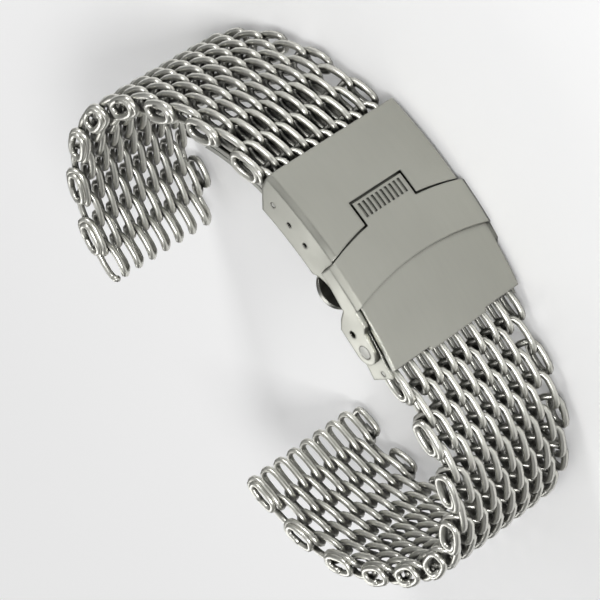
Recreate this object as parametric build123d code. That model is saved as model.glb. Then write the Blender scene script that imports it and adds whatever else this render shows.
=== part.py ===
from build123d import *
import math
import os

# A woven steel watch bracelet that stands on its far edge.
# Two mesh halves leave a folding clasp and end in open rows of links.
# The sheet runs in the XY plane, its width along Z, the clasp towards -Y.
# All angles at the clasp are measured from the -Y direction towards +X.

# Links of the mesh
wire_outside = 0.24
wire_inside = 0.26
wire_half_height = 0.27
link_half_length = 3.3
link_half_width = 1.75
link_straight_half = 2.35
link_lean = 53
edge_link_lean = 38
column_pitch = 2.5
long_row_links = 9
short_row_links = 8
bracket_edge_shift = 0.9
bracket_edge_lean = 20
cover_row_squeeze = 0.99
loose_link_lean = 96
loose_link_rise = 0.65

# Route of each half, as heading at the bar and runs of radius and turn
upper_heading = 13.2
upper_side_offset = 2.7
upper_side_turn = 76.8
upper_back_radius = 21.2
upper_back_turn = 84.5
upper_rows = 17
lower_heading = 4
lower_lead_radius = 60
lower_lead_turn = 9.55
lower_front_radius = 20
lower_front_turn = 76.45
lower_side_radius = 42
lower_side_turn = 22
lower_back_radius = 19
lower_back_turn = 72
lower_rows = 19

# Cover of the clasp
sheet = 0.7
cover_radius = 55
cover_half_width = 11.2
wall_depth = 6
cover_edge_chamfer = 0.6
cover_upper_angle = 15.8
cover_lower_angle = 15.3
wall_end_cut = 2
wall_end_rise = 3.4
cover_tongue_step = 0.7
cover_tongue_half_width = 5
notch_offset = 1.2
notch_half_length = 3
notch_depth = 1.6

# Spring bars and the holes that take them
bar_depth = 3.5
upper_bar_angle = 13.1
hole_step_angle = 3.6
hole_count = 3
lower_bar_angle = 15.1
bar_radius = 0.6
bar_bore_radius = 0.42
bar_end_wall = 0.6
bar_end_gap = 0.1
tip_radius = 0.3
tip_hole_clearance = 0.05
tip_collar_radius = 0.38
tip_collar_length = 1
tip_travel = 1.1
tip_recess = 0.05
spring_radius = 0.36
spring_bore = 0.2
ring_to_bar = 1.3

# Blades of the fold
blade_gap = 0.1
blade_side_gap = 2
blade_bend_angle = 13
blade_bend_radius = 28
blade_end_angle = 42.5
thumb_lobe_half_length = 3
thumb_lobe_reach = 2.5
pin_radius = 0.5
pin_clearance = 0.04
knuckle_radius = 0.95
knuckle_gap = 0.12
end_pin_sink = 0.25
middle_knuckle_half = 4.5
outer_knuckle_half = 8.6
cover_pin_angle = 4
cover_pin_lift = 0.05
lug_inner_half = 7
lug_clearance = 0.1
lug_half_angle = 1
seat_gap = 0.03
flip_seat_gap = 0.1

# Bracket at the end of the lower blade
bracket_far_angle = 16
bracket_near_angle = 5.6
bracket_wall_depth = 2.05
bracket_floor = 0.5

# Flip lock over the cover
ear_gap = 0.08
ear_bottom_depth = 6.5
flip_outer_edge = 3.3
flip_outer_end = 5.5
flip_inner_edge = 3.2
flip_inner_end = 0.9
flip_side_depth = 2.9
ear_neck_x = 4.8
ear_corner_x = 5.9
ear_lobe_x = 9.9
ear_lobe_depth = 4.8
ear_lobe_radius = 1.85
ear_arm_depth = 2.1
ear_step_x = 8
ear_step_depth = 1.2
ear_hole_x = 7.2
ear_hole_radius = 0.5
rivet_radius = 0.9
recess_margin = 0.35
tab_length = 3.1
tab_half_width = 4.2
tab_ribs = 10
tab_rib_depth = 0.25
rib_width_share = 0.5

# One overrun serves every cut, and one radius lies well inside every sheet
overrun = 1
core_radius = 30
rod_sides = 12

# Where one piece meets the next
cover_inner_radius = cover_radius - sheet
bar_radius_from_centre = cover_radius - bar_depth
bracket_wall_top = cover_radius - bracket_wall_depth
ear_bottom_radius = cover_radius - ear_bottom_depth
ear_lobe_y = cover_radius - ear_lobe_depth
ear_arm_top = cover_radius - ear_arm_depth
ear_step_top = cover_radius - ear_step_depth
blade_half_width = cover_half_width - blade_side_gap
upper_side_radius = blade_bend_radius + upper_side_offset
lower_plate_top = cover_inner_radius
lower_plate_bottom = lower_plate_top - sheet
wall_bottom_radius = cover_radius - wall_depth
wall_inner_half = cover_half_width - sheet
lower_blade_outer = wall_bottom_radius - blade_gap
lower_blade_inner = lower_blade_outer - sheet
middle_blade_inner = lower_blade_outer + blade_gap
middle_blade_outer = middle_blade_inner + sheet
ear_inner_half = cover_half_width + ear_gap
ear_outer_half = ear_inner_half + sheet
bend_line_radius = lower_blade_outer + blade_gap / 2
cover_pin_radius = middle_blade_inner + knuckle_radius + cover_pin_lift


def polar(radius, angle, centre=(0, 0)):
    """Point at a radius and an angle from the -Y direction, about a centre."""
    turn = math.radians(angle)
    return (centre[0] + radius * math.sin(turn), centre[1] - radius * math.cos(turn))


bend_centre = polar(bend_line_radius - blade_bend_radius, blade_bend_angle)
blade_pin = polar(blade_bend_radius - end_pin_sink, blade_end_angle, bend_centre)
cover_pin = polar(cover_pin_radius, cover_pin_angle)
flip_pin = (-ear_lobe_x, -ear_lobe_y)
upper_bar = polar(bar_radius_from_centre, upper_bar_angle)
lower_bar = polar(bar_radius_from_centre, -lower_bar_angle)


def sector(inner, outer, first, last, centre=(0, 0)):
    """Face between two radii and two angles about a centre."""
    middle = (first + last) / 2
    a = polar(inner, first, centre)
    b = polar(outer, first, centre)
    c = polar(outer, last, centre)
    d = polar(inner, last, centre)
    edges = [
        Edge.make_line(a, b),
        Edge.make_three_point_arc(b, polar(outer, middle, centre), c),
        Edge.make_line(c, d),
        Edge.make_three_point_arc(d, polar(inner, middle, centre), a),
    ]
    return Face(Wire(edges))


def across(face, half_width):
    """A face in XY made a solid that reaches the same way up and down."""
    return extrude(face, amount=half_width, dir=(0, 0, 1), both=True)


def band(inner, outer, first, last, half_width, centre=(0, 0)):
    """Curved sheet between two radii, with the band's width along Z."""
    return across(sector(inner, outer, first, last, centre), half_width)


def rod(point, radius, low, high):
    """Round rod along Z at a point of the plan."""
    return Pos(point[0], point[1], low) * extrude(Circle(radius), amount=high - low)


def front_prism(outline):
    """Solid that looks along Y like an outline given as X, Z points and arcs."""
    face = Face(Wire(outline))
    return extrude(face, amount=2 * cover_radius, dir=(0, -1, 0))


def front_line(a, b):
    """Straight edge in the plane Y = 0."""
    return Edge.make_line((a[0], 0, a[1]), (b[0], 0, b[1]))


def front_arc(a, b, c):
    """Arc through three points in the plane Y = 0."""
    return Edge.make_three_point_arc((a[0], 0, a[1]), (b[0], 0, b[1]), (c[0], 0, c[1]))


def flat_rod(point, radius, low, high):
    """Rod along Z with flat sides, for the small pieces inside a spring bar."""
    outline = RegularPolygon(radius, rod_sides)
    return Pos(point[0], point[1], low) * extrude(outline, amount=high - low)


def mirrored(solid):
    """The same piece on the other edge of the band."""
    return mirror(solid, about=Plane.XY)


# The routes of the two halves
def walk(start, heading, runs, side, distance):
    """Point and heading after a distance along tangent arcs; side is 1 towards +X and -1 towards -X."""
    x, y = start
    left = distance
    for radius, turn in runs:
        length = radius * math.radians(turn)
        step = min(left, length)
        end = heading + math.degrees(step / radius)
        x += side * radius * (math.sin(math.radians(end)) - math.sin(math.radians(heading)))
        y += radius * (math.cos(math.radians(heading)) - math.cos(math.radians(end)))
        heading = end
        left -= step
    x += side * left * math.cos(math.radians(heading))
    y += left * math.sin(math.radians(heading))
    return (x, y), heading


upper_runs = [
    (upper_side_radius, upper_side_turn),
    (upper_back_radius, upper_back_turn),
]
lower_runs = [
    (lower_lead_radius, lower_lead_turn),
    (lower_front_radius, lower_front_turn),
    (lower_side_radius, lower_side_turn),
    (lower_back_radius, lower_back_turn),
]


def route_length(runs):
    """Length of all the arcs of a route."""
    return sum(radius * math.radians(turn) for radius, turn in runs)


def row_places(runs, rows):
    """Distances from the bar to each row of links, evenly pitched up to the open end."""
    first = link_half_length - ring_to_bar
    last = route_length(runs) - link_half_length - wire_outside
    pitch = (last - first) / (rows - 1)
    return [first + pitch * i for i in range(rows)], pitch


def link_loop(offset, height):
    """Six corners of the link's hexagon, set out by an offset, at a height."""
    slope = math.atan2(link_half_width, link_half_length - link_straight_half)
    end = link_half_length + offset / math.sin(slope)
    flat = link_straight_half + offset * math.tan(slope / 2)
    wide = link_half_width + offset
    plan = [(end, 0), (flat, wide), (-flat, wide), (-end, 0), (-flat, -wide), (flat, -wide)]
    return [(x, y, height) for x, y in plan]


def link():
    """One welded link lying flat in XY: a long hexagon of three-sided wire."""
    loops = [
        link_loop(wire_outside, -wire_half_height),
        link_loop(wire_outside, wire_half_height),
        link_loop(-wire_inside, 0),
    ]
    faces = []
    for first, second in zip(loops, loops[1:] + loops[:1]):
        for i in range(len(first)):
            corners = [first[i - 1], first[i], second[i], second[i - 1]]
            faces.append(Face(Wire.make_polygon(corners, close=True)))
    return Solid(Shell(faces))


one_link = link()


def place_link(point, turn, height, lean):
    """A link at a point of the route, leaning about its own length."""
    return one_link.moved(Location((point[0], point[1], height), (0, 0, turn)) * Location((0, 0, 0), (-lean, 0, 0)))


def long_row(in_bracket, at_end):
    """Heights and leans of a row of nine links; its two edge links lean less."""
    middle = (long_row_links - 1) / 2
    row = []
    for i in range(long_row_links):
        height = (i - middle) * column_pitch
        edge = i in (0, long_row_links - 1)
        if edge and in_bracket:
            row.append((math.copysign(abs(height) - bracket_edge_shift, height), bracket_edge_lean))
        elif at_end and i == long_row_links - 1:
            continue
        elif at_end and i == long_row_links - 2:
            row.append((height + column_pitch / 2 + loose_link_rise, loose_link_lean))
        elif edge:
            row.append((height, edge_link_lean))
        else:
            row.append((height, link_lean))
    return row


def short_row(in_cover):
    """Heights and leans of a row of eight links, which lean the other way."""
    middle = (short_row_links - 1) / 2
    pitch = column_pitch * (cover_row_squeeze if in_cover else 1)
    return [((i - middle) * pitch, -link_lean) for i in range(short_row_links)]


def mesh_half(name, start, heading, runs, side, rows, first_is_long):
    """Every row of one half as its own piece, and the pivot between it and the row before."""
    places, pitch = row_places(runs, rows)
    made = {}
    pivots = {}
    for number, distance in enumerate(places, 1):
        point, angle = walk(start, heading, runs, side, distance)
        is_long = (number % 2 == 1) == first_is_long
        row = long_row(number == 1, number == rows) if is_long else short_row(number == 1)
        links = [place_link(point, side * angle, height, lean) for height, lean in row]
        node = f"{name}_row_{number:02d}"
        made[node] = Compound(children=links)
        before = start if number == 1 else walk(start, heading, runs, side, distance - pitch / 2)[0]
        pivots[node] = before
    return made, pivots, pitch


# Cover
def arch(ends, crown, half_width):
    """Arc across the band that bows towards the holes, with its ends at the edges."""
    return front_arc((ends, half_width), (crown, 0), (ends, -half_width))


def beyond_arch(ends, crown, reach):
    """Everything on the far side of an arch, out to a reach along X."""
    wide = cover_half_width + overrun
    return front_prism([
        arch(ends, crown, wide),
        front_line((ends, -wide), (reach, -wide)),
        front_line((reach, -wide), (reach, wide)),
        front_line((reach, wide), (ends, wide)),
    ])


def front_box(first, last, half_width, low=None):
    """Plain box seen from the front, between two X and two Z values."""
    base = -half_width if low is None else low
    return front_prism([
        front_line((first, base), (last, base)),
        front_line((last, base), (last, half_width)),
        front_line((last, half_width), (first, half_width)),
        front_line((first, half_width), (first, base)),
    ])


def make_cover():
    """Outer shell: raised main part with side walls, lower part under the flip lock."""
    far = cover_radius * math.sin(math.radians(cover_upper_angle))
    whole = band(wall_bottom_radius, cover_radius, -cover_lower_angle, cover_upper_angle, cover_half_width)
    rim = [
        e for e in whole.edges()
        if e.geom_type == GeomType.CIRCLE and abs(e.radius - cover_radius) < seat_gap
    ]
    whole = chamfer(rim, cover_edge_chamfer)
    recess_end = flip_inner_end + recess_margin
    main = whole & beyond_arch(recess_end, flip_inner_edge + recess_margin, far + overrun)
    tab_reach = flip_inner_edge + tab_length + recess_margin
    main -= front_box(0, tab_reach, tab_half_width + recess_margin) & band(
        lower_plate_top, cover_radius + overrun, -overrun, cover_upper_angle, cover_half_width
    )
    plate_end = cover_upper_angle / 2
    plate = band(lower_plate_bottom, lower_plate_top, -cover_lower_angle, plate_end, cover_half_width)
    plate -= front_box(tab_reach + sheet, far, cover_half_width + overrun)
    plate -= front_box(-far, -flip_outer_end, cover_half_width + overrun, cover_half_width - seat_gap)
    step = cover_tongue_step
    end = cover_radius * math.sin(math.radians(-cover_lower_angle))
    for sign in (1, -1):
        corner = front_box(end - overrun, end + step, cover_half_width + overrun, cover_tongue_half_width)
        plate -= corner if sign == 1 else mirrored(corner)
    # The walls go on under the flip lock as far as the bracket
    wall = band(wall_bottom_radius, lower_plate_top, -flip_outer_edge, plate_end, cover_half_width)
    wall -= band(core_radius, cover_radius, -cover_lower_angle, cover_upper_angle, wall_inner_half)
    shell = main + wall
    far_angle = cover_upper_angle + overrun
    inside = band(wall_bottom_radius - overrun, cover_inner_radius, -cover_lower_angle, far_angle, wall_inner_half)
    shell = shell - inside + plate
    # Half-moon finger notches
    half = notch_half_length
    notch_radius = (half * half + notch_depth * notch_depth) / (2 * notch_depth)
    notch_centre = (-notch_offset, -(wall_bottom_radius + notch_depth - notch_radius))
    shell -= rod(notch_centre, notch_radius, -cover_half_width - overrun, cover_half_width + overrun) & band(
        wall_bottom_radius - overrun, cover_inner_radius - sheet, -cover_lower_angle, cover_upper_angle,
        cover_half_width + overrun,
    )
    # Slanted wall ends
    top = polar(wall_bottom_radius + wall_end_rise, cover_upper_angle)
    foot = polar(wall_bottom_radius - overrun, cover_upper_angle)
    wedge = [
        (foot[0] - wall_end_cut, foot[1]),
        (foot[0] + overrun, foot[1]),
        (top[0] + overrun, top[1]),
        (top[0], top[1]),
    ]
    cut = Face(Wire.make_polygon([(x, y, 0) for x, y in wedge], close=True))
    shell -= across(cut, cover_half_width + overrun)
    for i in range(hole_count):
        spot = polar(bar_radius_from_centre, upper_bar_angle - i * hole_step_angle)
        shell -= rod(
            spot, tip_radius + tip_hole_clearance, -cover_half_width - overrun, cover_half_width + overrun
        )
    return shell


def knuckle(point, low, high):
    """Rolled eye round a hinge pin."""
    return rod(point, knuckle_radius, low, high)


def pin_hole(point):
    """Bore for a hinge pin, long enough for any piece."""
    return rod(point, pin_radius + pin_clearance, -cover_half_width, cover_half_width)


def make_lower_blade():
    """Inner blade: follows the clasp, then bends tighter to the hinge beyond the cover."""
    blade = band(lower_blade_inner, lower_blade_outer, -bracket_far_angle, blade_bend_angle, blade_half_width)
    outer = blade_bend_radius - blade_gap / 2
    blade += band(
        outer - sheet, outer, blade_bend_angle, blade_end_angle, blade_half_width, bend_centre
    )
    reach = blade_half_width + thumb_lobe_reach
    ends = [
        (-notch_offset - thumb_lobe_half_length, blade_half_width),
        (-notch_offset, reach),
        (-notch_offset + thumb_lobe_half_length, blade_half_width),
    ]
    lobe = front_prism([front_arc(ends[0], ends[1], ends[2]), front_line(ends[2], ends[0])])
    strip = band(lower_blade_inner, lower_blade_outer, -bracket_near_angle, bracket_near_angle, reach)
    blade += (lobe & strip) + (mirrored(lobe) & strip)
    low = middle_knuckle_half + knuckle_gap
    blade -= rod(blade_pin, knuckle_radius + knuckle_gap, -low, low)
    blade += knuckle(blade_pin, low, outer_knuckle_half) + knuckle(blade_pin, -outer_knuckle_half, -low)
    return blade - pin_hole(blade_pin)


def make_middle_blade():
    """Blade between the cover's hinge and the end hinge."""
    blade = band(middle_blade_inner, middle_blade_outer, cover_pin_angle, blade_bend_angle, blade_half_width)
    inner = blade_bend_radius + blade_gap / 2
    blade += band(inner, inner + sheet, blade_bend_angle, blade_end_angle, blade_half_width, bend_centre)
    clear = lug_inner_half - lug_clearance
    side = front_box(0, cover_pin[0] + 2 * knuckle_radius, cover_half_width, clear)
    blade -= side
    blade -= mirrored(side)
    for low in (middle_knuckle_half, -blade_half_width - overrun):
        high = low + blade_half_width - middle_knuckle_half + overrun
        blade -= rod(blade_pin, knuckle_radius + knuckle_gap, low, high)
    blade += knuckle(blade_pin, -middle_knuckle_half, middle_knuckle_half)
    blade += knuckle(cover_pin, -clear, clear)
    return blade - pin_hole(blade_pin) - pin_hole(cover_pin)


def make_lugs():
    """Two lugs welded under the cover that carry its hinge pin."""
    top = lower_plate_bottom - seat_gap
    low = lug_inner_half
    high = lug_inner_half + sheet
    half = knuckle_radius
    arm = sector(cover_pin_radius, top, cover_pin_angle - lug_half_angle, cover_pin_angle + lug_half_angle)
    lug = extrude(arm, amount=high - low, dir=(0, 0, 1))
    lug = Pos(0, 0, low) * lug + rod(cover_pin, half, low, high)
    lug -= pin_hole(cover_pin)
    return [lug.solid(), mirrored(lug).solid()]


def make_bracket():
    """Channel on the lower blade's end: floor, two walls, holes for bar and rivets."""
    floor_low = lower_blade_outer + seat_gap
    out = band(floor_low, bracket_wall_top, -bracket_far_angle, -bracket_near_angle, cover_half_width)
    out -= band(
        floor_low + bracket_floor, cover_radius, -bracket_far_angle - overrun, 0, wall_inner_half
    )
    reach = cover_half_width + overrun
    out -= rod(lower_bar, tip_radius + tip_hole_clearance, -reach, reach)
    out -= rod(flip_pin, rivet_radius, -reach, reach)
    return out


def make_flip_lock():
    """Band that lies over the cover, two ears and a ribbed thumb tab."""
    shell = band(ear_bottom_radius - overrun, cover_radius, -cover_lower_angle, cover_upper_angle, ear_outer_half)
    rim = [
        e for e in shell.edges()
        if e.geom_type == GeomType.CIRCLE and abs(e.radius - cover_radius) < seat_gap
    ]
    shell = chamfer(rim, sheet)
    strap = shell & front_prism([
        arch(flip_inner_end, flip_inner_edge, ear_outer_half + overrun),
        front_line((flip_inner_end, -ear_outer_half - overrun), (-flip_outer_end, -ear_outer_half - overrun)),
        arch(-flip_outer_end, -flip_outer_edge, ear_outer_half + overrun),
        front_line((-flip_outer_end, ear_outer_half + overrun), (flip_inner_end, ear_outer_half + overrun)),
    ])
    tab = band(lower_plate_top + flip_seat_gap, cover_radius, 0, cover_upper_angle, tab_half_width)
    tab &= front_box(flip_inner_edge - sheet, flip_inner_edge + tab_length, tab_half_width)
    step = 2 * tab_half_width / (tab_ribs + 1)
    for i in range(tab_ribs):
        middle = -tab_half_width + (i + 1) * step
        half = step * rib_width_share / 2
        groove = band(cover_radius - tab_rib_depth, cover_radius + overrun, 0, cover_upper_angle, half)
        tab -= Pos(0, 0, middle) * groove & front_box(
            flip_inner_edge + sheet, flip_inner_edge + tab_length - sheet / 2, tab_half_width
        )
    inner = band(
        ear_bottom_radius - 2 * overrun, lower_plate_top + flip_seat_gap,
        -cover_lower_angle - overrun, cover_upper_angle + overrun, ear_inner_half,
    )
    strap -= inner
    side_low = (cover_radius - flip_side_depth)
    strap -= band(core_radius, side_low, -cover_lower_angle, cover_upper_angle, ear_outer_half + overrun)
    return strap + tab + make_ear() + mirrored(make_ear())


def make_ear():
    """Side arm of the flip lock, from the band down to its pivot."""
    side_low = cover_radius - flip_side_depth
    high = ear_outer_half - sheet
    points = [
        (flip_inner_end - sheet, -side_low - sheet),
        (flip_inner_end - sheet, -side_low),
        (-ear_neck_x + sheet, -side_low + sheet),
        (-ear_neck_x, -ear_bottom_radius - 2 * sheet),
        (-ear_corner_x, -ear_bottom_radius),
        (-ear_lobe_x, -ear_lobe_y + ear_lobe_radius),
    ]
    edges = [Edge.make_line(a, b) for a, b in zip(points, points[1:])]
    left = (-ear_lobe_x - ear_lobe_radius, -ear_lobe_y)
    top = (-ear_lobe_x, -ear_lobe_y - ear_lobe_radius)
    edges.append(Edge.make_three_point_arc(points[-1], left, top))
    rest = [
        top,
        (-ear_step_x, -ear_arm_top + sheet / 2),
        (-ear_step_x + sheet, -ear_step_top + sheet / 2),
        (-flip_outer_end + sheet / 2, -ear_step_top),
        points[0],
    ]
    edges += [Edge.make_line(a, b) for a, b in zip(rest, rest[1:])]
    ear = Pos(0, 0, high) * extrude(Face(Wire(edges)), amount=sheet)
    hole = (-ear_hole_x, -ear_lobe_y)
    ear -= rod(hole, ear_hole_radius, 0, ear_outer_half + overrun)
    return ear - rod(flip_pin, rivet_radius + pin_clearance, 0, ear_outer_half + overrun)


def make_rivets():
    """Two flush rivets that the flip lock turns on."""
    rivet = rod(flip_pin, rivet_radius - pin_clearance / 2, wall_inner_half, ear_outer_half)
    return [rivet.solid(), mirrored(rivet).solid()]


def make_barrel(spot):
    """Tube of a spring bar, with turned-in ends that hold the tips."""
    half = wall_inner_half - bar_end_gap
    tube = flat_rod(spot, bar_radius, -half, half)
    tube -= flat_rod(spot, tip_radius + tip_hole_clearance, -half - overrun, half + overrun)
    return tube - flat_rod(spot, bar_bore_radius, -half + bar_end_wall, half - bar_end_wall)


def make_tip(spot):
    """Sprung end of a bar: a thin pin through the wall and a collar inside the tube."""
    seat = wall_inner_half - bar_end_gap - bar_end_wall
    tip = flat_rod(spot, tip_radius, seat - tip_collar_length, cover_half_width - tip_recess)
    return tip + flat_rod(spot, tip_collar_radius, seat - tip_collar_length, seat - tip_recess)


def make_spring(spot):
    """Coil between the two collars of a bar, as the sleeve that it fills."""
    half = wall_inner_half - bar_end_gap - bar_end_wall - tip_collar_length - tip_travel
    sleeve = flat_rod(spot, spring_radius, -half, half)
    return sleeve - flat_rod(spot, spring_bore, -half - overrun, half + overrun)


nodes = {
    "cover": make_cover(),
    "lower_blade": make_lower_blade(),
    "middle_blade": make_middle_blade(),
    "cover_hinge_lugs": Compound(children=make_lugs()),
    "end_bracket": make_bracket(),
    "flip_lock": make_flip_lock(),
    "flip_rivets": Compound(children=make_rivets()),
    "blade_hinge_pin": rod(blade_pin, pin_radius, -outer_knuckle_half, outer_knuckle_half),
    "cover_hinge_pin": rod(cover_pin, pin_radius, -lug_inner_half - sheet, lug_inner_half + sheet),
}
for place, spot in (("cover", upper_bar), ("bracket", lower_bar)):
    nodes[f"{place}_bar_barrel"] = make_barrel(spot)
    nodes[f"{place}_bar_tip_near"] = make_tip(spot)
    nodes[f"{place}_bar_tip_far"] = mirrored(make_tip(spot))
    nodes[f"{place}_bar_spring"] = make_spring(spot)

upper, upper_pivots, upper_pitch = mesh_half(
    "upper", upper_bar, upper_heading, upper_runs, 1, upper_rows, False
)
lower, lower_pivots, lower_pitch = mesh_half(
    "lower", lower_bar, lower_heading, lower_runs, -1, lower_rows, True
)
nodes.update(upper)
nodes.update(lower)

# The origin goes to the middle of the underside
boxes = [piece.bounding_box() for piece in nodes.values()]
low = [min(getattr(b.min, axis) for b in boxes) for axis in "XYZ"]
high = [max(getattr(b.max, axis) for b in boxes) for axis in "XYZ"]
shift = Pos(-(low[0] + high[0]) / 2, -(low[1] + high[1]) / 2, -low[2])

os.makedirs("parts", exist_ok=True)
for name, piece in nodes.items():
    export_step(shift * piece, f"parts/{name}.step")

print("size", [round(h - l, 3) for l, h in zip(low, high)])
print("origin in the plan", [round((l + h) / 2, 4) for l, h in zip(low[:2], high[:2])], "underside", round(low[2], 4))
print("row pitch", round(upper_pitch, 4), round(lower_pitch, 4))
for label, spot in (
    ("blade_pin", blade_pin), ("cover_pin", cover_pin), ("flip_pin", flip_pin),
    ("upper_bar", upper_bar), ("lower_bar", lower_bar),
):
    print("place", label, round(spot[0], 4), round(spot[1], 4))
for label, spot in list(upper_pivots.items()) + list(lower_pivots.items()):
    print("pivot", label, round(spot[0], 4), round(spot[1], 4))
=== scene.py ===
import math
import bpy
import numpy as np
from mathutils import Matrix, Vector


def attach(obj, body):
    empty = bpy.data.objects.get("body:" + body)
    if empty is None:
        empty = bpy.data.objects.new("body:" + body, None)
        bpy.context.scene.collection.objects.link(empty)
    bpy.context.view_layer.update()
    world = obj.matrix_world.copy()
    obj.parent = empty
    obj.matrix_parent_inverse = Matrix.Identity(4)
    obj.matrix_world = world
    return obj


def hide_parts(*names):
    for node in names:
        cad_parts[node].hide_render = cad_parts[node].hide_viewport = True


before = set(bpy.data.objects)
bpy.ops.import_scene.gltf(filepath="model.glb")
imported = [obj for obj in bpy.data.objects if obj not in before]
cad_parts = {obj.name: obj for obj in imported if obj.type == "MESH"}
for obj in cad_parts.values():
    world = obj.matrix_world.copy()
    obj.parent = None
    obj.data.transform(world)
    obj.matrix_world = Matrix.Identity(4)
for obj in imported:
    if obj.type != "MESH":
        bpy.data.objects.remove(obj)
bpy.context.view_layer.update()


# The mesh
# Each row is one round stainless wire wound into a flattened coil and screwed through the coil before it. In
# every other row the wire's two ends are closed into flat rings and welded; the rows between end half a turn
# short of the edge.

# Its sizes are in millimetres and degrees.
wire_radius = 0.48
coil_half_length = 2.85
coil_half_depth = 1.4
coil_outward = 0.12
coil_pitch = 2.57
coil_yaw = 7.0
corner_power = 0.75
tip_fall = 0.5
tip_centre = 100
arc_centre = -75
fall_half_width = 50
long_row_strands = 9
short_row_strands = 8
ring_lift = 0.1
ring_half_length = 2.2
ring_half_depth = 1.15
edge_strand_lift = 0.4
points_per_turn = 16
wire_sides = 8


def signed_power(wave):
    """The wave's size raised to the corner power, with its own sign, which squares up a circle's corners."""
    return np.sign(wave) * np.abs(wave) ** corner_power


def done_share(turn, centre):
    """The share of a fall that is done, from 0 to 1 along a smooth step about the centre."""
    share = np.clip((turn - math.radians(centre)) / math.radians(2 * fall_half_width) + 0.5, 0, 1)
    return share * share * (3 - 2 * share)


def coil_line(strands, closed_ends):
    """Centre line of one row. As the turn angle grows, the place along the band goes with its sine and the
    place through the band with its cosine, both squared up. The height stands still along the strands and
    falls in two steps a turn, a small one round the coil's one end, the tip, and the rest of the pitch round
    its other end, the arc. Closed ends add one level turn that is drawn in to the ring's size; open ends
    bring the outermost strands nearer the edge."""
    last_strand = 2 * math.pi * (strands - 1)
    spare = 2 * math.pi if closed_ends else math.pi / 2
    first, last = -spare, last_strand + spare
    count = int(round((last - first) / (2 * math.pi) * points_per_turn)) + 1
    turn = np.linspace(first, last, count)
    along = coil_half_length * signed_power(np.sin(turn))
    deep = coil_half_depth * signed_power(np.cos(turn))
    height = np.full(count, (strands - 1) / 2 * coil_pitch)
    for strand in range(strands - 1):
        height -= tip_fall * done_share(turn, 360 * strand + tip_centre)
        height -= (coil_pitch - tip_fall) * done_share(turn, 360 * (strand + 1) + arc_centre)
    before, after = np.clip(-turn, 0, None), np.clip(turn - last_strand, 0, None)
    if closed_ends:
        height += ring_lift * (np.clip(before / math.pi, 0, 1) - np.clip(after / math.pi, 0, 1))
        in_ring = np.clip((before + after) / (math.pi / 2), 0, 1)
        along *= 1 - in_ring * (1 - ring_half_length / coil_half_length)
        deep *= 1 - in_ring * (1 - ring_half_depth / coil_half_depth)
    else:
        height += edge_strand_lift * np.clip((math.pi - turn) / math.pi, 0, 1)
        height -= edge_strand_lift * np.clip((turn - last_strand + math.pi) / math.pi, 0, 1)
    yaw = math.radians(coil_yaw)
    turned_along = along * math.cos(yaw) - deep * math.sin(yaw)
    turned_deep = along * math.sin(yaw) + deep * math.cos(yaw) + coil_outward
    return np.stack([turned_along, turned_deep, height], -1)


def wire_tube(line):
    """A round tube along a centre line. Each point of the line carries a circle across the line's direction,
    set out from the level line across it; both ends are closed with one face."""
    forward = np.gradient(line, axis=0)
    forward /= np.linalg.norm(forward, axis=1, keepdims=True)
    level = np.cross(forward, np.array([0.0, 0.0, 1.0]))
    level /= np.linalg.norm(level, axis=1, keepdims=True)
    steep = np.cross(level, forward)
    around = np.arange(wire_sides) * 2 * math.pi / wire_sides
    circle = level[:, None] * np.cos(around)[None, :, None] + steep[:, None] * np.sin(around)[None, :, None]
    places = (line[:, None] + wire_radius * circle).reshape(-1, 3)
    side = np.arange(wire_sides)
    start = np.arange(len(line) - 1)[:, None] * wire_sides
    beside = (side + 1) % wire_sides
    walls = np.stack([start + side, start + wire_sides + side,
                      start + wire_sides + beside, start + beside], -1).reshape(-1, 4)
    end_face = (len(line) - 1) * wire_sides + side[::-1]
    return places, walls.tolist() + [side.tolist(), end_face.tolist()]


def route_places(start, heading, side, runs, distances):
    """Points and headings at distances along a route of tangent arcs. On each arc the point moves by the
    radius times the change of the heading's sine along X, and of its cosine along Y."""
    left = np.array(distances, float)
    point = np.tile(np.array(start, float), (len(left), 1))
    angle = np.full(len(left), math.radians(heading))
    for radius, turn in runs:
        step = np.clip(left, 0, radius * math.radians(turn))
        after = angle + step / radius
        point[:, 0] += side * radius * (np.sin(after) - np.sin(angle))
        point[:, 1] += radius * (np.cos(angle) - np.cos(after))
        angle = after
        left -= step
    return point, angle


# The band was measured from the middle of its height, straight above or below the point that the camera was
# aimed at. Seen from there, the part's own origin lies here, on its underside.
plan_origin = np.array([-1.641, -26.3935])
underside = -11.98


def row_mesh(name, point, angle, side, strands, closed_ends):
    """One row as a mesh in metres. The coil's length runs against the route in both halves, its deep side
    faces out of the band, and both turn with the route's heading at the row."""
    places, faces = wire_tube(coil_line(strands, closed_ends))
    away = np.array([side * math.cos(angle), math.sin(angle)])
    outward = np.array([side * math.sin(angle), -math.cos(angle)])
    plan = point - side * places[:, :1] * away + places[:, 1:2] * outward
    metres = np.column_stack([plan - plan_origin, places[:, 2] - underside]) / 1000
    mesh = bpy.data.meshes.new(name)
    mesh.from_pydata(metres.tolist(), [], faces)
    mesh.polygons.foreach_set("use_smooth", np.ones(len(faces), bool))
    mesh.update()
    return mesh


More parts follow.
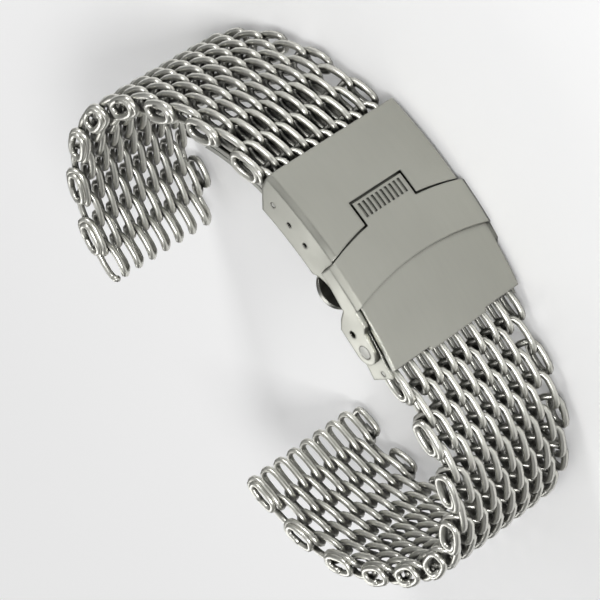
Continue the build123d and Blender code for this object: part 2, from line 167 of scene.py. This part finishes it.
def steel(name, colour, roughness, grain, grain_scale, grain_depth, patch_scale, painted_shade_reach, bevel=0.0):
    """Bare stainless steel. Fine marks come from noise stretched along the grain, broad patches of slightly
    different tone from soft noise, and edges are eased by a bevelled normal. Where other metal stands closer
    than the given reach, painted shade darkens the base colour by ambient occlusion; a reach of zero paints
    no shade."""
    material = bpy.data.materials.new(name)
    material.use_nodes = True
    nodes, links = material.node_tree.nodes, material.node_tree.links
    shader = nodes["Principled BSDF"]
    shader.inputs["Metallic"].default_value = 1.0
    place = nodes.new("ShaderNodeTexCoord")
    stretch = nodes.new("ShaderNodeMapping")
    stretch.inputs["Scale"].default_value = grain
    links.new(place.outputs["Object"], stretch.inputs["Vector"])
    marks = nodes.new("ShaderNodeTexNoise")
    marks.inputs["Scale"].default_value = grain_scale
    marks.inputs["Detail"].default_value = 4.0
    links.new(stretch.outputs["Vector"], marks.inputs["Vector"])
    patches = nodes.new("ShaderNodeTexNoise")
    patches.inputs["Scale"].default_value = patch_scale
    patches.inputs["Detail"].default_value = 2.0
    links.new(place.outputs["Object"], patches.inputs["Vector"])

    gloss = nodes.new("ShaderNodeMapRange")
    gloss.inputs["From Min"].default_value = 0.3
    gloss.inputs["From Max"].default_value = 0.7
    gloss.inputs["To Min"].default_value = roughness * 0.85
    gloss.inputs["To Max"].default_value = roughness * 1.2
    links.new(marks.outputs["Fac"], gloss.inputs["Value"])
    links.new(gloss.outputs["Result"], shader.inputs["Roughness"])

    tint = nodes.new("ShaderNodeValToRGB")
    low, high = tint.color_ramp.elements
    low.position, low.color = 0.3, (*[channel * 0.9 for channel in colour], 1)
    high.position, high.color = 0.7, (*colour, 1)
    links.new(patches.outputs["Fac"], tint.inputs["Fac"])
    links.new(tint.outputs["Color"], shader.inputs["Base Color"])
    # Painted shade: ambient occlusion multiplies the base colour down in recesses, gaps and between wires,
    # where shade falls.
    if painted_shade_reach:
        openness = nodes.new("ShaderNodeAmbientOcclusion")
        openness.samples = 4
        openness.inputs["Distance"].default_value = painted_shade_reach
        painted_shade_level = nodes.new("ShaderNodeMapRange")
        painted_shade_level.inputs["From Min"].default_value = 0.33
        painted_shade_level.inputs["From Max"].default_value = 0.75
        painted_shade_level.inputs["To Min"].default_value = 0.15
        painted_shade_level.inputs["To Max"].default_value = 1.0
        links.new(openness.outputs["AO"], painted_shade_level.inputs["Value"])
        painted_shade_colour = nodes.new("ShaderNodeMix")
        painted_shade_colour.data_type = "RGBA"
        painted_shade_colour.blend_type = "MULTIPLY"
        painted_shade_colour.inputs["Factor"].default_value = 1.0
        links.new(tint.outputs["Color"], painted_shade_colour.inputs["A"])
        links.new(painted_shade_level.outputs["Result"], painted_shade_colour.inputs["B"])
        links.new(painted_shade_colour.outputs["Result"], shader.inputs["Base Color"])

    bump = nodes.new("ShaderNodeBump")
    bump.inputs["Strength"].default_value = 0.25
    bump.inputs["Distance"].default_value = grain_depth
    links.new(marks.outputs["Fac"], bump.inputs["Height"])
    if bevel:
        eased_edge = nodes.new("ShaderNodeBevel")
        eased_edge.samples = 4
        eased_edge.inputs["Radius"].default_value = bevel
        links.new(eased_edge.outputs["Normal"], bump.inputs["Normal"])
    links.new(bump.outputs["Normal"], shader.inputs["Normal"])
    return material


# The wire's base colour carries painted shade within 4 mm of other wire, which darkens the inner strands and
# the gaps.
polished_wire = steel("polished steel wire", (0.74, 0.735, 0.675), 0.35, grain=(1, 1, 1), grain_scale=2600,
                      grain_depth=0.000004, patch_scale=90, painted_shade_reach=0.004)

# Each half's route starts at its spring bar, with a point, a heading and a side, and goes on in runs of a
# radius and a turn. Counted from 0, the closed rows are the odd ones of the upper half and the even ones of
# the lower.
first_row_distance = 2.0
last_row_short_of_end = 3.54
upper_half = dict(name="upper", start=(11.6725, -50.1598), heading=13.2, side=1,
                  runs=[(30.7, 76.8), (21.2, 84.5)], rows=17, first_closed=1)
lower_half = dict(name="lower", start=(-13.416, -49.7218), heading=4.0, side=-1,
                  runs=[(60, 9.55), (20, 76.45), (42, 22), (19, 72)], rows=19, first_closed=0)
for half in (upper_half, lower_half):
    length = sum(radius * math.radians(turn) for radius, turn in half["runs"])
    distances = np.linspace(first_row_distance, length - last_row_short_of_end, half["rows"])
    points, angles = route_places(half["start"], half["heading"], half["side"], half["runs"], distances)
    for row in range(half["rows"]):
        closed_ends = row % 2 == half["first_closed"]
        strands = long_row_strands if closed_ends else short_row_strands
        node = f"{half['name']}_row_{row + 1:02d}"
        name = f"{half['name']}_coil_{row + 1:02d}"
        mesh = row_mesh(name, points[row], angles[row], half["side"], strands, closed_ends)
        mesh.materials.append(polished_wire)
        piece = bpy.data.objects.new(name, mesh)
        bpy.context.scene.collection.objects.link(piece)
        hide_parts(node)
        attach(piece, node)


# The clasp's sheet pieces
# Cover, lock and bracket are pressed from stainless sheet, bent to the wrist's curve and given a fine satin
# brushing across the band; the blades and lugs inside are plainer and brushed the other way. All edges are
# eased in a tumbler.
# Both sheet finishes carry painted shade within 1.5 mm of other metal, which darkens the clasp's gaps, steps
# and creases.
satin_sheet = steel("satin steel sheet", (0.42, 0.42, 0.375), 0.36, grain=(0.25, 0.25, 1.6), grain_scale=900,
                    grain_depth=0.00001, patch_scale=60, painted_shade_reach=0.0015, bevel=0.0004)
plain_sheet = steel("plain steel sheet", (0.40, 0.40, 0.365), 0.32, grain=(1.2, 1.2, 0.3), grain_scale=900,
                    grain_depth=0.00001, patch_scale=60, painted_shade_reach=0.0015, bevel=0.0002)
sheet_pieces = [
    (satin_sheet, ("cover", "flip_lock", "end_bracket")),
    (plain_sheet, ("lower_blade", "middle_blade", "cover_hinge_lugs")),
]
for sheet, names in sheet_pieces:
    for name in names:
        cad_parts[name].data.materials.clear()
        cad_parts[name].data.materials.append(sheet)


# Spring bars, hinge pins and rivets
# They are turned from steel rod and left as turned. The rivets are set flush in the lock's ears, and the
# spring bars' tips snap into the holes of the cover and the bracket.
turned_rod = steel("turned steel rod", (0.45, 0.45, 0.42), 0.42, grain=(1, 1, 8), grain_scale=700,
                   grain_depth=0.000008, patch_scale=120, painted_shade_reach=0)
for name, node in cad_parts.items():
    if "bar" in name or "pin" in name or "rivet" in name:
        node.data.materials.clear()
        node.data.materials.append(turned_rod)


# The table
# A sheet of white paper on a table, on which the bracelet stands on its long edge. The camera and the metal
# see it a little brighter than the lamps make it.
paper_half_size = 4
paper_glow = 0.08
corners = [(-paper_half_size, -paper_half_size, 0), (paper_half_size, -paper_half_size, 0),
           (paper_half_size, paper_half_size, 0), (-paper_half_size, paper_half_size, 0)]
table = bpy.data.meshes.new("table")
table.from_pydata(corners, [], [(0, 1, 2, 3)])
table_top = bpy.data.objects.new("table", table)
bpy.context.scene.collection.objects.link(table_top)
paper = bpy.data.materials.new("white paper")
paper.use_nodes = True
paper_nodes, paper_links = paper.node_tree.nodes, paper.node_tree.links
paper_shader = paper_nodes["Principled BSDF"]
paper_shader.inputs["Base Color"].default_value = (0.86, 0.86, 0.86, 1)
paper_shader.inputs["Roughness"].default_value = 0.9
paper_shader.inputs["Emission Color"].default_value = (1, 1, 1, 1)
ray = paper_nodes.new("ShaderNodeLightPath")
seen_or_mirrored = paper_nodes.new("ShaderNodeMath")
seen_or_mirrored.operation = "MAXIMUM"
paper_links.new(ray.outputs["Is Camera Ray"], seen_or_mirrored.inputs[0])
paper_links.new(ray.outputs["Is Glossy Ray"], seen_or_mirrored.inputs[1])
lift = paper_nodes.new("ShaderNodeMath")
lift.operation = "MULTIPLY"
lift.inputs[1].default_value = paper_glow
paper_links.new(seen_or_mirrored.outputs["Value"], lift.inputs[0])
paper_links.new(lift.outputs["Value"], paper_shader.inputs["Emission Strength"])
table.materials.append(paper)


# The camera
# It stands as the photograph's was fitted: its height over the table, its roll, its distance and the height
# of its aim in metres, and its focal length in pixels of a picture 600 wide.
shot_elevation = math.radians(29.601)
shot_roll = math.radians(-123.734)
shot_distance = 0.3677
aim_height = -0.01303
focal_pixels = 2512.4
picture_width = 600
sensor_width = 36
aim = Vector((-plan_origin[0] / 1000, -plan_origin[1] / 1000, aim_height - underside / 1000))
level_right = Vector((1, 0, 0))
level_up = Vector((0, math.sin(shot_elevation), math.cos(shot_elevation)))
backward = level_right.cross(level_up)
right = math.cos(shot_roll) * level_right + math.sin(shot_roll) * level_up
up = math.cos(shot_roll) * level_up - math.sin(shot_roll) * level_right
camera_data = bpy.data.cameras.new("camera")
camera_data.sensor_width = sensor_width
camera_data.lens = sensor_width * focal_pixels / picture_width
camera_data.clip_start = 0.01
camera = bpy.data.objects.new("camera", camera_data)
bpy.context.scene.collection.objects.link(camera)
camera_turn = Matrix((right, up, backward)).transposed().to_4x4()
camera.matrix_world = Matrix.Translation(aim + backward * shot_distance) @ camera_turn
bpy.context.scene.camera = camera


# The lamps and the room
# Three square soft lamps stand round the table, and the room is pale overhead and dark at the table's level,
# which gives the round wires their dark edges.
bracelet_middle = Vector((0, 0, 0.012))


def soft_lamp(name, offset, size, energy):
    """A square soft lamp at an offset from the bracelet's middle, turned so that it shines at the middle."""
    data = bpy.data.lights.new(name, "AREA")
    data.size = size
    data.energy = energy
    lamp = bpy.data.objects.new(name, data)
    lamp.location = bracelet_middle + Vector(offset)
    lamp.rotation_euler = (-Vector(offset)).to_track_quat("-Z", "Y").to_euler()
    bpy.context.scene.collection.objects.link(lamp)


soft_lamp("key lamp", (-0.2, -0.5, 0.38), size=0.2, energy=2.6)
soft_lamp("side lamp", (0.45, -0.3, 0.25), size=0.12, energy=1.2)
soft_lamp("back lamp", (-0.12, 0.5, 0.32), size=0.3, energy=0.7)

room = bpy.data.worlds.new("studio")
bpy.context.scene.world = room
room.use_nodes = True
room_nodes, room_links = room.node_tree.nodes, room.node_tree.links
backdrop = room_nodes["Background"]
backdrop.inputs["Strength"].default_value = 0.62
direction = room_nodes.new("ShaderNodeTexCoord")
split = room_nodes.new("ShaderNodeSeparateXYZ")
room_links.new(direction.outputs["Generated"], split.inputs["Vector"])
shade = room_nodes.new("ShaderNodeValToRGB")
at_table, overhead = shade.color_ramp.elements
at_table.position, at_table.color = 0.05, (0.02, 0.02, 0.02, 1)
overhead.position, overhead.color = 1.0, (0.9, 0.9, 0.9, 1)
room_links.new(split.outputs["Z"], shade.inputs["Fac"])
room_links.new(shade.outputs["Color"], backdrop.inputs["Color"])

bpy.context.scene.view_settings.view_transform = "Standard"
